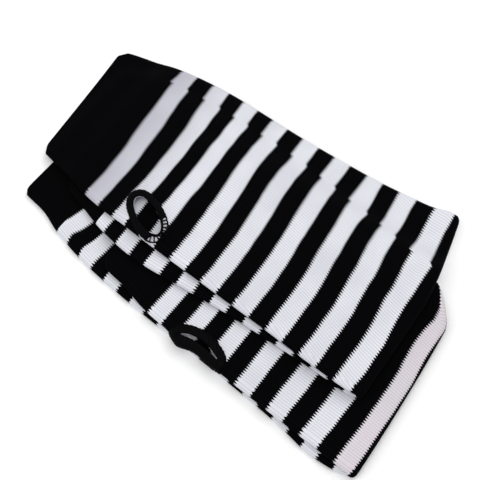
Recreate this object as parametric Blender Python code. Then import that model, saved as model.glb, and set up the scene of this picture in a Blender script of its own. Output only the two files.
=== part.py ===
"""A pair of knitted arm warmers, each a striped tube folded in half across its width, one laid on the other.

Tables and named sizes are in millimetres and the scene is in metres. +X runs from the cuffs to the folds,
+Y from the near long edge to the far one, and the pair rests on z = 0. Each half of a tube is a layer: two
walls of knit, pressed almost flat, with both long edges rounded over. A layer drapes over those below it.
"""
import math
from collections import namedtuple

import bmesh
import bpy
from mathutils import Vector

MM = 0.001

WALL = 1.25
AIR = 0.5
SEAM_GAP = 0.3
THICK = 2.0 * WALL + AIR
EDGE_ROUND = 3.0
EDGE_ARC = 3.6
DRAPE = 14.0
FINE_STEP = 3.5
MIDDLE_STEP = 5.0
COARSE_STEP = 10.0
FOLD_STEPS = 5
FOLD_CURVE = 1.3
CENTRE_X = -4.04
CENTRE_Y = 5.45
CAP_ANGLES = (45.0, 0.0, -45.0)

RIM_GAP = 0.5
RIM_HEIGHT = 1.5
RIM_POINTS = 28
RIM_SHOULDER = 0.35

Section = namedtuple("Section", "near_x near_y far_x far_y bow pull pull_from", defaults=(0.0, 0.0, 0.6))
Hole = namedtuple("Hole", "x arc half_length half_width turn rim_width gape")
Finish = namedtuple("Finish", "red green blue roughness")

# One row for each section across a layer, from its open end to its fold. A section runs from its near end to
# its far end and bulges towards the fold by bow halfway. From pull_from of the way across it also curves back,
# to end pull short of the far end's x.
LOWER_ARM = (
    Section(-95.9, -37.4, -94.3, 35.0),
    Section(-94.4, -39.4, -92.4, 38.0),
    Section(-82.0, -41.3, -81.0, 38.8),
    Section(-70.5, -45.4, -69.5, 39.2),
    Section(-54.5, -49.0, -53.5, 39.2),
    Section(-38.9, -51.0, -38.0, 38.8),
    Section(-14.3, -52.8, -14.0, 38.2),
    Section(20.0, -54.3, 19.0, 37.8),
    Section(58.5, -56.6, 56.0, 37.4),
    Section(78.0, -59.2, 75.6, 37.2, 1.0, 3.5, 0.83),
    Section(89.5, -58.9, 85.0, 36.8, 1.8, 7.0, 0.83),
    Section(95.2, -58.1, 89.0, 36.2, 2.4, 9.5, 0.83),
    Section(98.7, -57.0, 91.0, 35.4, 2.7, 10.5, 0.83),
)
LOWER_HAND = (
    Section(-43.0, -42.0, -45.0, 21.0),
    Section(-39.8, -46.6, -42.0, 24.5),
    Section(-28.0, -48.4, -30.0, 27.5),
    Section(-13.5, -51.6, -12.5, 31.0),
    Section(4.0, -53.0, 5.0, 33.2),
    Section(38.5, -55.0, 38.5, 36.0),
    Section(64.0, -55.9, 62.0, 37.2),
    Section(80.0, -56.4, 76.6, 37.2, 1.0, 3.5, 0.83),
    Section(89.5, -56.8, 85.0, 36.8, 1.8, 7.0, 0.83),
    Section(95.2, -57.0, 89.0, 36.2, 2.4, 9.5, 0.83),
    Section(98.7, -57.0, 91.0, 35.4, 2.7, 10.5, 0.83),
)
UPPER_ARM = (
    Section(-80.5, -24.0, -81.0, 46.0),
    Section(-78.5, -26.8, -79.0, 49.5),
    Section(-68.0, -29.6, -69.0, 52.5),
    Section(-57.5, -32.6, -58.5, 54.0),
    Section(-42.5, -35.8, -44.5, 55.0),
    Section(-27.0, -36.4, -30.0, 55.6),
    Section(-9.0, -34.9, -14.0, 56.5),
    Section(17.0, -32.5, 11.0, 58.5),
    Section(43.0, -31.3, 36.0, 61.0),
    Section(66.5, -30.6, 62.0, 65.2, 0.6, 4.0, 0.58),
    Section(74.0, -30.7, 70.0, 67.0, 0.8, 7.0, 0.58),
    Section(79.0, -30.5, 75.4, 68.9, 1.0, 8.1, 0.58),
    Section(82.0, -29.8, 78.6, 69.6, 1.0, 8.3, 0.58),
)
UPPER_HAND = (
    Section(-103.2, -15.2, -110.0, 46.4),
    Section(-101.0, -18.4, -107.4, 50.0),
    Section(-86.0, -21.3, -93.0, 54.0, 0.8),
    Section(-70.5, -25.0, -79.8, 57.0, 1.6),
    Section(-52.5, -26.8, -61.3, 59.7, 1.6),
    Section(-35.0, -28.0, -43.0, 60.9, 1.4),
    Section(0.0, -28.7, -7.6, 61.0, 1.2),
    Section(35.0, -29.4, 27.6, 62.7, 1.0),
    Section(53.0, -30.1, 44.4, 64.3, 1.0, 1.0, 0.58),
    Section(66.5, -30.3, 62.0, 66.2, 1.0, 5.0, 0.58),
    Section(74.0, -30.4, 70.0, 67.6, 1.0, 7.4, 0.58),
    Section(79.0, -30.2, 75.4, 69.5, 1.0, 8.2, 0.58),
    Section(82.0, -29.8, 78.6, 69.6, 1.0, 8.3, 0.58),
)
STACK = (LOWER_ARM, LOWER_HAND, UPPER_ARM, UPPER_HAND)
SEAM_ROW = 3
TURN_ROWS = 2

# Where a ring has its points across, in the lower and in the upper arm warmer.
LOWER_LINES = (-47.0, -43.5, -39.5, -26.0, -10.0, 6.0, 17.0, 23.0, 28.0)
UPPER_LINES = (-22.0, -17.0, -11.0, -5.0, 2.0, 14.0, 24.0, 29.0, 33.0, 37.0, 41.0, 45.0, 49.0, 53.0, 59.0)
LEAST_LINE_GAP = 0.7

# The thumb holes, placed along X and by the way round from the near long edge.
UPPER_HOLE = Hole(-38.5, 10.9, 10.3, 5.7, -20.0, 2.6, 1.4)
LOWER_HOLE = Hole(16.0, 5.5, 12.4, 4.0, 4.0, 2.6, 0.8)

BLACK_KNIT = Finish(0.012, 0.012, 0.015, 0.92)
STRIPED_KNIT = Finish(0.42, 0.42, 0.45, 0.92)
BLACK_THREAD = Finish(0.01, 0.01, 0.012, 0.85)


def placed(point):
    """A point of the tables in metres, about the middle of the pair."""
    return (point - Vector((CENTRE_X, CENTRE_Y, 0.0))) * MM


def smooth(value):
    """Rise from 0 to 1 with level ends."""
    value = min(max(value, 0.0), 1.0)
    return value * value * (3.0 - 2.0 * value)


def section_at(rows, row):
    """The section at a row number that may lie between two rows, on a smooth curve through them."""
    first = min(max(int(row), 0), len(rows) - 2)
    part = row - first
    before = rows[max(first - 1, 0)]
    start = rows[first]
    end = rows[first + 1]
    after = rows[min(first + 2, len(rows) - 1)]
    values = []
    for a, b, c, d in zip(before, start, end, after):
        bend = 2.0 * a - 5.0 * b + 4.0 * c - d
        twist = 3.0 * b - a - 3.0 * c + d
        values.append(b + 0.5 * part * (c - a + part * (bend + part * twist)))
    return Section(*values)


def plan_x(section, y):
    """X on a section's line across, at y."""
    part = (y - section.near_y) / (section.far_y - section.near_y)
    back = max(part - section.pull_from, 0.0) / (1.0 - section.pull_from)
    line = section.near_x + part * (section.far_x - section.near_x)
    return line + 4.0 * section.bow * part * (1.0 - part) - section.pull * back**FOLD_CURVE


def outline(rows):
    """The layer's outline in plan, near edge first."""
    near = []
    far = []
    for index in range(len(rows)):
        for part in (0.0, 0.5):
            if index + part <= len(rows) - 1:
                section = section_at(rows, index + part)
                near.append((section.near_x, section.near_y))
                far.append((plan_x(section, section.far_y), section.far_y))
    fold = rows[-1]
    for index in range(1, 12):
        y = fold.near_y + (fold.far_y - fold.near_y) * index / 12.0
        near.append((plan_x(fold, y), y))
    return near + far[::-1]


OUTLINES = tuple(outline(rows) for rows in STACK)


def distance_outside(points, x, y):
    """How far a place is outside an outline, or 0 within it."""
    inside = False
    nearest = float("inf")
    count = len(points)
    for index in range(count):
        ax, ay = points[index]
        bx, by = points[(index + 1) % count]
        if (ay > y) != (by > y):
            if x < ax + (y - ay) / (by - ay) * (bx - ax):
                inside = not inside
        length = (bx - ax) ** 2 + (by - ay) ** 2
        along = ((x - ax) * (bx - ax) + (y - ay) * (by - ay)) / length
        along = min(max(along, 0.0), 1.0)
        nearest = min(nearest, math.hypot(x - ax - along * (bx - ax), y - ay - along * (by - ay)))
    return 0.0 if inside else nearest


def underside(level, x, y):
    """Height of a layer's underside, draped over the layers below."""
    height = 0.0
    for points in OUTLINES[:level]:
        height += (THICK + SEAM_GAP) * smooth(1.0 - distance_outside(points, x, y) / DRAPE)
    return height


def near_edge(rows, x):
    """Y of the near long edge at x."""
    last = section_at(rows, 0.0)
    for index in range(1, 4 * (len(rows) - 1) + 1):
        section = section_at(rows, index / 4.0)
        if section.near_x >= x:
            part = (x - last.near_x) / (section.near_x - last.near_x)
            return last.near_y + part * (section.near_y - last.near_y)
        last = section
    return last.near_y


def hole_place(hole, turn, scale_out=0.0):
    """X and the way round of a point on the hole's edge, moved out over the knit by scale_out."""
    angle = math.radians(turn)
    tilt = math.radians(hole.turn)
    out = Vector((hole.half_width * math.cos(angle), hole.half_length * math.sin(angle))).normalized()
    along = hole.half_length * math.cos(angle) + out.x * scale_out
    across = hole.half_width * math.sin(angle) + out.y * scale_out
    x = hole.x + along * math.cos(tilt) - across * math.sin(tilt)
    arc = hole.arc + along * math.sin(tilt) + across * math.cos(tilt)
    return x, arc


def gape(rows, hole, x, y):
    """How far the upper wall stands up about the thumb hole."""
    if hole is None:
        return 0.0
    arc = y - near_edge(rows, x) + EDGE_ARC - EDGE_ROUND
    tilt = math.radians(hole.turn)
    along = (x - hole.x) * math.cos(tilt) + (arc - hole.arc) * math.sin(tilt)
    across = (arc - hole.arc) * math.cos(tilt) - (x - hole.x) * math.sin(tilt)
    reach = math.hypot(along / hole.half_length, across / hole.half_width)
    return hole.gape * smooth(1.0 - (reach - 1.3) / 1.2)


def ring_plan(section, lines, inset):
    """Places round one flattened section as (y, share of half the thickness), near to far over the top."""
    low = section.near_y + EDGE_ROUND
    high = section.far_y - EDGE_ROUND
    count = len(lines)
    flats = [low]
    for index, line in enumerate(lines):
        line = max(line, low + LEAST_LINE_GAP * (index + 1))
        flats.append(min(line, high - LEAST_LINE_GAP * (count - index)))
    flats.append(high)
    reach = EDGE_ROUND - inset
    caps = [(reach * math.cos(math.radians(a)), math.sin(math.radians(a))) for a in CAP_ANGLES]
    places = [(y, 1.0) for y in flats]
    places += [(high + out, rise) for out, rise in caps]
    places += [(y, -1.0) for y in reversed(flats)]
    places += [(low - out, -rise) for out, rise in caps]
    return places


def layer_ring(level, row, lines, hole, inner, outward):
    """Points of one ring of a layer. Outward is 1 where the tube's outside is up and -1 beneath a fold."""
    rows = STACK[level]
    section = section_at(rows, row)
    inset = WALL if inner else 0.0
    half = THICK / 2.0 - inset
    ring = []
    for y, share in ring_plan(section, lines, inset):
        x = plan_x(section, y)
        z = underside(level, x, y) + THICK / 2.0 + outward * share * half
        z += gape(rows, hole, x, y) * (outward * share + 1.0) / 2.0
        ring.append(placed(Vector((x, y, z))))
    return ring


def fold_ring(level, angle, lines, inner):
    """Points of one ring where the tube turns over its fold, from the hand half down to the arm half."""
    section = STACK[level][-1]
    inset = WALL if inner else 0.0
    half = THICK / 2.0 - inset
    ring = []
    for y, share in ring_plan(section, lines, inset):
        x = plan_x(section, y)
        out = Vector((1.0, plan_x(section, y - 0.5) - plan_x(section, y + 0.5), 0.0)).normalized()
        turned = Vector((0.0, 0.0, 1.0)) * math.cos(angle) + out * math.sin(angle)
        axis = Vector((x, y, underside(level, x, y) + THICK + SEAM_GAP / 2.0))
        radius = (THICK + SEAM_GAP) / 2.0 + share * half
        ring.append(placed(axis + turned * radius))
    return ring


def step_length(rows, x):
    """Spacing of the rings: close where the upper layers drape, and about the lower thumb hole."""
    if rows in (UPPER_ARM, UPPER_HAND) and x < -30.0:
        return FINE_STEP
    if rows == LOWER_HAND and -20.0 < x < 30.0:
        return MIDDLE_STEP
    return COARSE_STEP


def row_steps(rows, first, last):
    """Row numbers for the rings from one row to another."""
    steps = [first]
    low = first
    while low < last - 1e-6:
        high = min(math.floor(low + 1e-6) + 1.0, last)
        start = section_at(rows, low)
        end = section_at(rows, high)
        length = 0.5 * (abs(end.near_x - start.near_x) + abs(end.far_x - start.far_x))
        spacing = step_length(rows, start.near_x)
        count = max(1, round(length / spacing))
        steps += [low + (high - low) * (index + 1) / count for index in range(count)]
        low = high
    return steps


def after_seam(rows, row, toward):
    """The row number one seam gap along from a row."""
    here = section_at(rows, row)
    there = section_at(rows, row + 0.1 * toward)
    length = math.hypot(there.near_x - here.near_x, there.near_y - here.near_y)
    return row + toward * 0.1 * SEAM_GAP / length


def make_object(name, finish, collection, vertices, faces):
    """A closed mesh with its own material, every face turned outward."""
    mesh = bpy.data.meshes.new(name)
    mesh.from_pydata([tuple(point) for point in vertices], [], faces)
    shape = bmesh.new()
    shape.from_mesh(mesh)
    bmesh.ops.recalc_face_normals(shape, faces=shape.faces)
    shape.to_mesh(mesh)
    shape.free()
    material = bpy.data.materials.new(name)
    material.use_nodes = True
    shader = material.node_tree.nodes["Principled BSDF"]
    shader.inputs["Base Color"].default_value = (finish.red, finish.green, finish.blue, 1.0)
    shader.inputs["Roughness"].default_value = finish.roughness
    shader.inputs["Metallic"].default_value = 0.0
    mesh.materials.append(material)
    made = bpy.data.objects.new(name, mesh)
    collection.objects.link(made)
    return made


def skin(rings, offset):
    """Faces between each ring and the next."""
    count = len(rings[0])
    faces = []
    for index in range(len(rings) - 1):
        start = offset + index * count
        for point in range(count):
            after = (point + 1) % count
            faces.append((start + point, start + after, start + count + after, start + count + point))
    return faces


def solid_from_rings(name, finish, collection, rings):
    """A rounded solid with flat ends."""
    vertices = [point for ring in rings for point in ring]
    count = len(rings[0])
    faces = skin(rings, 0)
    faces.append(tuple(range(count)))
    faces.append(tuple(range(len(vertices) - count, len(vertices))))
    return make_object(name, finish, collection, vertices, faces)


def tube_from_rings(name, finish, collection, outer, inner):
    """A tube with a wall of knit, open at both ends."""
    vertices = [point for ring in outer + inner for point in ring]
    count = len(outer[0])
    inner_start = len(outer) * count
    faces = skin(outer, 0) + skin(inner, inner_start)
    for start in (0, inner_start - count):
        for point in range(count):
            after = (point + 1) % count
            faces.append((start + point, start + after, inner_start + start + after, inner_start + start + point))
    return make_object(name, finish, collection, vertices, faces)


def surface(level, hole, x, arc):
    """A point on a layer's outside and the way out from it, by the way round from the near long edge."""
    rows = STACK[level]
    edge = near_edge(rows, x)
    middle = underside(level, x, edge + EDGE_ROUND) + THICK / 2.0
    if arc < EDGE_ARC:
        angle = arc / EDGE_ARC * math.pi / 2.0
        y = edge + EDGE_ROUND * (1.0 - math.cos(angle))
        rise = math.sin(angle)
        z = middle + rise * THICK / 2.0 + gape(rows, hole, x, y) * (rise + 1.0) / 2.0
        out = Vector((0.0, -math.cos(angle) * THICK / 2.0, math.sin(angle) * EDGE_ROUND)).normalized()
        return Vector((x, y, z)), out
    y = edge + EDGE_ROUND + arc - EDGE_ARC

    def height(at_x, at_y):
        return underside(level, at_x, at_y) + THICK + gape(rows, hole, at_x, at_y)

    z = height(x, y)
    out = Vector((height(x - 0.5, y) - height(x + 0.5, y), height(x, y - 0.5) - height(x, y + 0.5), 1.0))
    return Vector((x, y, z)), out.normalized()


def hole_cutter(name, level, hole, collection):
    """The thumb hole's cutter, from the middle of the tube out through its upper wall."""
    turns = [360.0 * index / RIM_POINTS for index in range(RIM_POINTS)]
    vertices = []
    for shrink, depth in ((0.5, -THICK / 2.0), (0.0, -THICK / 2.0), (0.0, 3.5)):
        for turn in turns:
            x, arc = hole_place(hole, turn, -shrink * hole.half_width)
            point, out = surface(level, hole, x, arc)
            sink = depth - 0.5 * hole.gape if depth < 0.0 else depth
            vertices.append(placed(point + out * sink))
    faces = []
    for start in (0, RIM_POINTS):
        for index in range(RIM_POINTS):
            after = (index + 1) % RIM_POINTS
            faces.append((start + index, start + after, start + RIM_POINTS + after, start + RIM_POINTS + index))
    faces.append(tuple(range(RIM_POINTS)))
    faces.append(tuple(range(2 * RIM_POINTS, 3 * RIM_POINTS)))
    cutter = make_object(name, BLACK_THREAD, collection, vertices, faces)
    cutter.hide_render = True
    cutter.display_type = "WIRE"
    return cutter


def cut_hole(sleeve, cutter):
    """Cut the thumb hole through the sleeve's upper wall."""
    cut = sleeve.modifiers.new("thumb_hole", "BOOLEAN")
    cut.operation = "DIFFERENCE"
    cut.solver = "EXACT"
    cut.object = cutter


def thumb_edge(name, level, hole, collection):
    """The overlocked edge: a rounded band on the knit all round the thumb hole."""
    width = hole.rim_width
    shoulder = width * RIM_SHOULDER
    low = RIM_GAP
    high = RIM_GAP + RIM_HEIGHT
    profile = (
        (0.0, low + 0.4),
        (0.25, low),
        (width - 0.25, low),
        (width, low + 0.4),
        (width - shoulder, high),
        (shoulder, high),
    )
    rings = []
    for index in range(RIM_POINTS):
        turn = 360.0 * index / RIM_POINTS
        ring = []
        for across, rise in profile:
            x, arc = hole_place(hole, turn, across)
            point, out = surface(level, hole, x, arc)
            ring.append(placed(point + out * rise))
        rings.append(ring)
    vertices = [point for ring in rings for point in ring]
    count = len(profile)
    faces = []
    for index in range(RIM_POINTS):
        start = index * count
        end = ((index + 1) % RIM_POINTS) * count
        for point in range(count):
            after = (point + 1) % count
            faces.append((start + point, start + after, end + after, end + point))
    return make_object(name, BLACK_THREAD, collection, vertices, faces)


def warmer(prefix, arm_level, hand_level, lines, hole, collection, cutters):
    """One arm warmer: two cuffs, the sleeve over its fold and under it, and the thumb hole's edge."""
    hand = STACK[hand_level]
    arm = STACK[arm_level]

    def hand_rings(steps, inner):
        return [layer_ring(hand_level, row, lines, hole, inner, 1.0) for row in steps]

    def arm_rings(steps, inner):
        return [layer_ring(arm_level, row, lines, None, inner, -1.0) for row in steps]

    cuff_steps = row_steps(hand, 0.0, float(SEAM_ROW))
    tube_from_rings(
        prefix + "_hand_cuff", BLACK_KNIT, collection, hand_rings(cuff_steps, False), hand_rings(cuff_steps, True)
    )

    hand_steps = row_steps(hand, after_seam(hand, float(SEAM_ROW), 1.0), float(len(hand) - 1))
    turn_steps = row_steps(arm, float(len(arm) - 1 - TURN_ROWS), float(len(arm) - 1))[::-1]
    angles = [math.pi * (index + 1) / FOLD_STEPS for index in range(FOLD_STEPS - 1)]
    walls = []
    for inner in (False, True):
        rings = hand_rings(hand_steps, inner)
        rings += [fold_ring(arm_level, angle, lines, inner) for angle in angles]
        rings += arm_rings(turn_steps, inner)
        walls.append(rings)
    sleeve = tube_from_rings(prefix + "_hand_sleeve", STRIPED_KNIT, collection, walls[0], walls[1])
    cut_hole(sleeve, hole_cutter(prefix + "_hole_cutter", hand_level, hole, cutters))
    thumb_edge(prefix + "_thumb_edge", hand_level, hole, collection)

    arm_end = after_seam(arm, float(len(arm) - 1 - TURN_ROWS), -1.0)
    arm_steps = row_steps(arm, after_seam(arm, float(SEAM_ROW), 1.0), arm_end)
    solid_from_rings(prefix + "_arm_sleeve", STRIPED_KNIT, collection, arm_rings(arm_steps, False))
    cuff_steps = row_steps(arm, 0.0, float(SEAM_ROW))
    tube_from_rings(
        prefix + "_arm_cuff", BLACK_KNIT, collection, arm_rings(cuff_steps, False), arm_rings(cuff_steps, True)
    )


def main():
    """Clear the scene and build the pair."""
    for old in list(bpy.data.objects):
        bpy.data.objects.remove(old, do_unlink=True)
    parts = bpy.data.collections.new("knitted_arm_warmers")
    cutters = bpy.data.collections.new("cutters")
    bpy.context.scene.collection.children.link(parts)
    bpy.context.scene.collection.children.link(cutters)
    warmer("lower", 0, 1, LOWER_LINES, LOWER_HOLE, parts, cutters)
    warmer("upper", 2, 3, UPPER_LINES, UPPER_HOLE, parts, cutters)


main()
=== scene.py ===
"""Looks for a pair of knitted arm warmers, each folded in half across its width, one laid on the other.

Tables and named sizes are in millimetres, with the origin of the tables at TABLE_ORIGIN of the part, and meshes
are in metres in the part's own frame. Each warmer is one circular-knit tube: a black hand cuff, a striped
sleeve that turns over its fold, and a black arm cuff. Each half of a tube is a layer of two walls of knit.
"""

import logging
import math
from dataclasses import dataclass, fields
from enum import Enum

import bpy
import numpy as np
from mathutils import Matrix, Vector

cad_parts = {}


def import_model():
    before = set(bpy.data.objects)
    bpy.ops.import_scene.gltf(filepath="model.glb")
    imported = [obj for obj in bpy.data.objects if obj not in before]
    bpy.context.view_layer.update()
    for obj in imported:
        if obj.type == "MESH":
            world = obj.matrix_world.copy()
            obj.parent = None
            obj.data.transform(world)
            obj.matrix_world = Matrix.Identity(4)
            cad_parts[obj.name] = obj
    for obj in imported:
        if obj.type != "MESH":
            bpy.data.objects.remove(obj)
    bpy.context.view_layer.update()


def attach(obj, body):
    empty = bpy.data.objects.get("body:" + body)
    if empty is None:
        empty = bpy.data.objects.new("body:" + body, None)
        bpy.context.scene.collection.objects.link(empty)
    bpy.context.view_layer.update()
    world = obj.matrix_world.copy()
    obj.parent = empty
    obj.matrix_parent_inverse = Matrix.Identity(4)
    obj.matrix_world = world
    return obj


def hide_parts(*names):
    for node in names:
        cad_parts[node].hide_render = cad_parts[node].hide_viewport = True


LOG = logging.getLogger("arm_warmers")

MM = 0.001
TABLE_ORIGIN = (-4.04, 5.45)

LAYER_THICK = 3.0
LAYER_GAP = 0.3
EDGE_ROUND = 3.0
EDGE_ARC = 3.6
DRAPE = 14.0
FOLD_CURVE = 1.3

KNIT_WALL = 1.05
TUBE_ROUND = 180.0
STRIPE = 8.75
FLAT_COLUMNS = 54
EDGE_COLUMNS = 10
ROW_STEP = 1.6
FOLD_STEPS = 14
CUFF_ROW = 3


class Half(Enum):
    """Which half of a folded tube a layer is."""

    HAND = 1.0
    ARM = -1.0


@dataclass(frozen=True)
class Section:
    """A line across a layer, from the near long edge to the far one.

    It bulges towards the fold by bow halfway, and from pull_from of the way across it curves back, to end pull
    short of far_x.
    """

    near_x: float
    near_y: float
    far_x: float
    far_y: float
    bow: float = 0.0
    pull: float = 0.0
    pull_from: float = 0.6

    def x_at(self, y: np.ndarray) -> np.ndarray:
        """X on the line at each y.

        Args:
            y: Places across the layer.

        Returns:
            X at each place.
        """
        part = (y - self.near_y) / (self.far_y - self.near_y)
        back = np.clip((part - self.pull_from) / (1.0 - self.pull_from), 0.0, None)
        line = self.near_x + part * (self.far_x - self.near_x)
        return line + 4.0 * self.bow * part * (1.0 - part) - self.pull * back**FOLD_CURVE


@dataclass(frozen=True)
class Crease:
    """A soft trough, or a ridge where its rise is above zero, in the top of a layer and all that lies on it."""

    level: int
    x: float
    y: float
    turn: float
    length: float
    width: float
    rise: float

    def lift(self, x: np.ndarray, y: np.ndarray) -> np.ndarray:
        """How far the crease moves each place up.

        Args:
            x: Places along the pair.
            y: Places across the pair.

        Returns:
            The rise at each place.
        """
        turn = math.radians(self.turn)
        along = (x - self.x) * math.cos(turn) + (y - self.y) * math.sin(turn)
        across = (y - self.y) * math.cos(turn) - (x - self.x) * math.sin(turn)
        return self.rise * np.exp(-((2.0 * along / self.length) ** 2) - (2.0 * across / self.width) ** 2)


@dataclass(frozen=True)
class Pull:
    """A place where the cloth, and the stripes in it, are pulled along by a soft shift."""

    x: float
    part: float
    shift: float
    length: float
    width: float

    def shift_at(self, x: np.ndarray, part: np.ndarray) -> np.ndarray:
        """The shift at places by x and by their share of the way across."""
        return self.shift * np.exp(-(((x - self.x) / self.length) ** 2) - ((part - self.part) / self.width) ** 2)


@dataclass(frozen=True)
class ThumbHole:
    """A thumb hole: an oval placed along X and by the way round the knit, inside a stitched edge.

    The oval is wider to the far side or to the near one, and its ends sag to the near side. The edge has a width at
    the fold end, on the far side, at the cuff end and on the near side. Its stitches are loose from loose_from to
    loose_to, in degrees, beside a roll that keeps loose_width of its width. By flare_x the long edge is pushed out
    by flare. Behind the hole the stripes at slip_count lie further on by slip.
    """

    x: float
    arc: float
    half_length: float
    far_half: float
    near_half: float
    turn: float
    sag: float
    edge_widths: tuple[float, float, float, float]
    gape: float
    lip: float
    loose_from: float
    loose_to: float
    loose_width: float
    flare: float = 0.0
    flare_x: float = 0.0
    slip: float = 0.0
    slip_count: float = 0.0

    def reach(self, x: np.ndarray, arc: np.ndarray) -> np.ndarray:
        """Distance from the hole's middle, as 1 on its edge.

        Args:
            x: Places along the pair.
            arc: Ways round from the near long edge.

        Returns:
            The reach of each place.
        """
        turn = math.radians(self.turn)
        along = ((x - self.x) * math.cos(turn) + (arc - self.arc) * math.sin(turn)) / self.half_length
        across = (arc - self.arc) * math.cos(turn) - (x - self.x) * math.sin(turn) + self.sag * along**2
        return np.hypot(along, across / np.where(across > 0.0, self.far_half, self.near_half))

    def place(self, angle: np.ndarray, out: np.ndarray) -> tuple[np.ndarray, np.ndarray]:
        """Places round the hole.

        Args:
            angle: Angles round the oval, in radians.
            out: How far across the stitched edge each place lies, from 0 at the opening to 1.

        Returns:
            X and the way round of each place.
        """
        fold_end, far_side, cuff_end, near_side = self.edge_widths
        ends = np.where(np.cos(angle) > 0.0, fold_end, cuff_end) * np.cos(angle) ** 2
        sides = np.where(np.sin(angle) > 0.0, far_side, near_side) * np.sin(angle) ** 2
        half = np.where(np.sin(angle) > 0.0, self.far_half, self.near_half)
        steep = np.hypot(half * np.cos(angle), self.half_length * np.sin(angle))
        along = np.cos(angle) * (self.half_length + out * (ends + sides) * half / steep)
        across = np.sin(angle) * (half + out * (ends + sides) * self.half_length / steep)
        across = across - self.sag * (along / self.half_length) ** 2
        turn = math.radians(self.turn)
        x = self.x + along * math.cos(turn) - across * math.sin(turn)
        return x, self.arc + along * math.sin(turn) + across * math.cos(turn)

    def rise(self, x: np.ndarray, arc: np.ndarray) -> np.ndarray:
        """How far the knit stands up about the hole.

        Args:
            x: Places along the pair.
            arc: Ways round from the near long edge.

        Returns:
            The rise of the gaping wall, with the lip that the overlock pulls up at the edge.
        """
        distance = (1.0 - 1.0 / np.maximum(self.reach(x, arc), 0.01)) * np.hypot(x - self.x, arc - self.arc)
        return self.gape * smooth(1.0 - (distance - 1.7) / 6.8) + self.lip * smooth(1.0 - distance / 3.0)

    def push(self, x: np.ndarray, arc: np.ndarray) -> np.ndarray:
        """How far the knit between the hole and the long edge is pushed out past that edge's line."""
        return self.flare * np.exp(-(((x - self.flare_x) / 5.0) ** 2)) * smooth(1.0 - np.abs(arc) / 5.5)


def smooth(value: np.ndarray) -> np.ndarray:
    """Rise from 0 to 1 with level ends."""
    value = np.clip(value, 0.0, 1.0)
    return value * value * (3.0 - 2.0 * value)


def through(stations: tuple[float, ...], values: np.ndarray, part: np.ndarray) -> np.ndarray:
    """A smooth curve through values at stations.

    Args:
        stations: Where the values are, rising.
        values: The value at each station.
        part: Places between the first station and the last.

    Returns:
        The value at each place.
    """
    if len(stations) == 1:
        return np.full(np.shape(part), values[0])
    at = np.array(stations)
    slopes = np.gradient(values, at)
    first = np.clip(np.searchsorted(at, part) - 1, 0, len(stations) - 2)
    width = at[first + 1] - at[first]
    share = (part - at[first]) / width
    start = values[first] + share * width * slopes[first]
    end = values[first + 1] - (1.0 - share) * width * slopes[first + 1]
    return start + (end - start) * smooth(share)


@dataclass(frozen=True)
class RoundStart:
    """The line along a tube at which each round of knitting starts, so that every stripe steps there.

    Towards the fold the tube is skewed, and its wales wander round it by spiral.
    """

    at: float
    step: float
    spiral: float

    def wale(self, around: np.ndarray, count: np.ndarray) -> np.ndarray:
        """The wale, in millimetres round the tube, of places by their way round and stripe count."""
        return around + self.spiral * np.clip(count - 8.0, 0.0, 10.5) ** 1.6

    def shift(self, around: float, count: float) -> float:
        """How far the step has moved the stripes at a place, as a stripe count."""
        turn = ((self.wale(around, count) - self.at) / TUBE_ROUND) % 1.0
        return self.step / STRIPE * (0.5 - turn)


@dataclass(frozen=True)
class StripeRun:
    """Where the stripes change along a layer's near long edge.

    The stripe count is count at x, and rises by 1 with each pitch from there, which grows by growth each time.
    Odd counts start a white stripe.
    """

    count: int
    x: float
    pitch: float
    growth: float

    def count_at(self, x: float) -> float:
        """The stripe count at x."""
        number = np.arange(-8.0, 30.0)
        marks = self.x + number * (self.pitch + self.growth * number)
        way = math.copysign(1.0, self.pitch)
        return self.count + float(np.interp(way * x, way * marks, number))


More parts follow.
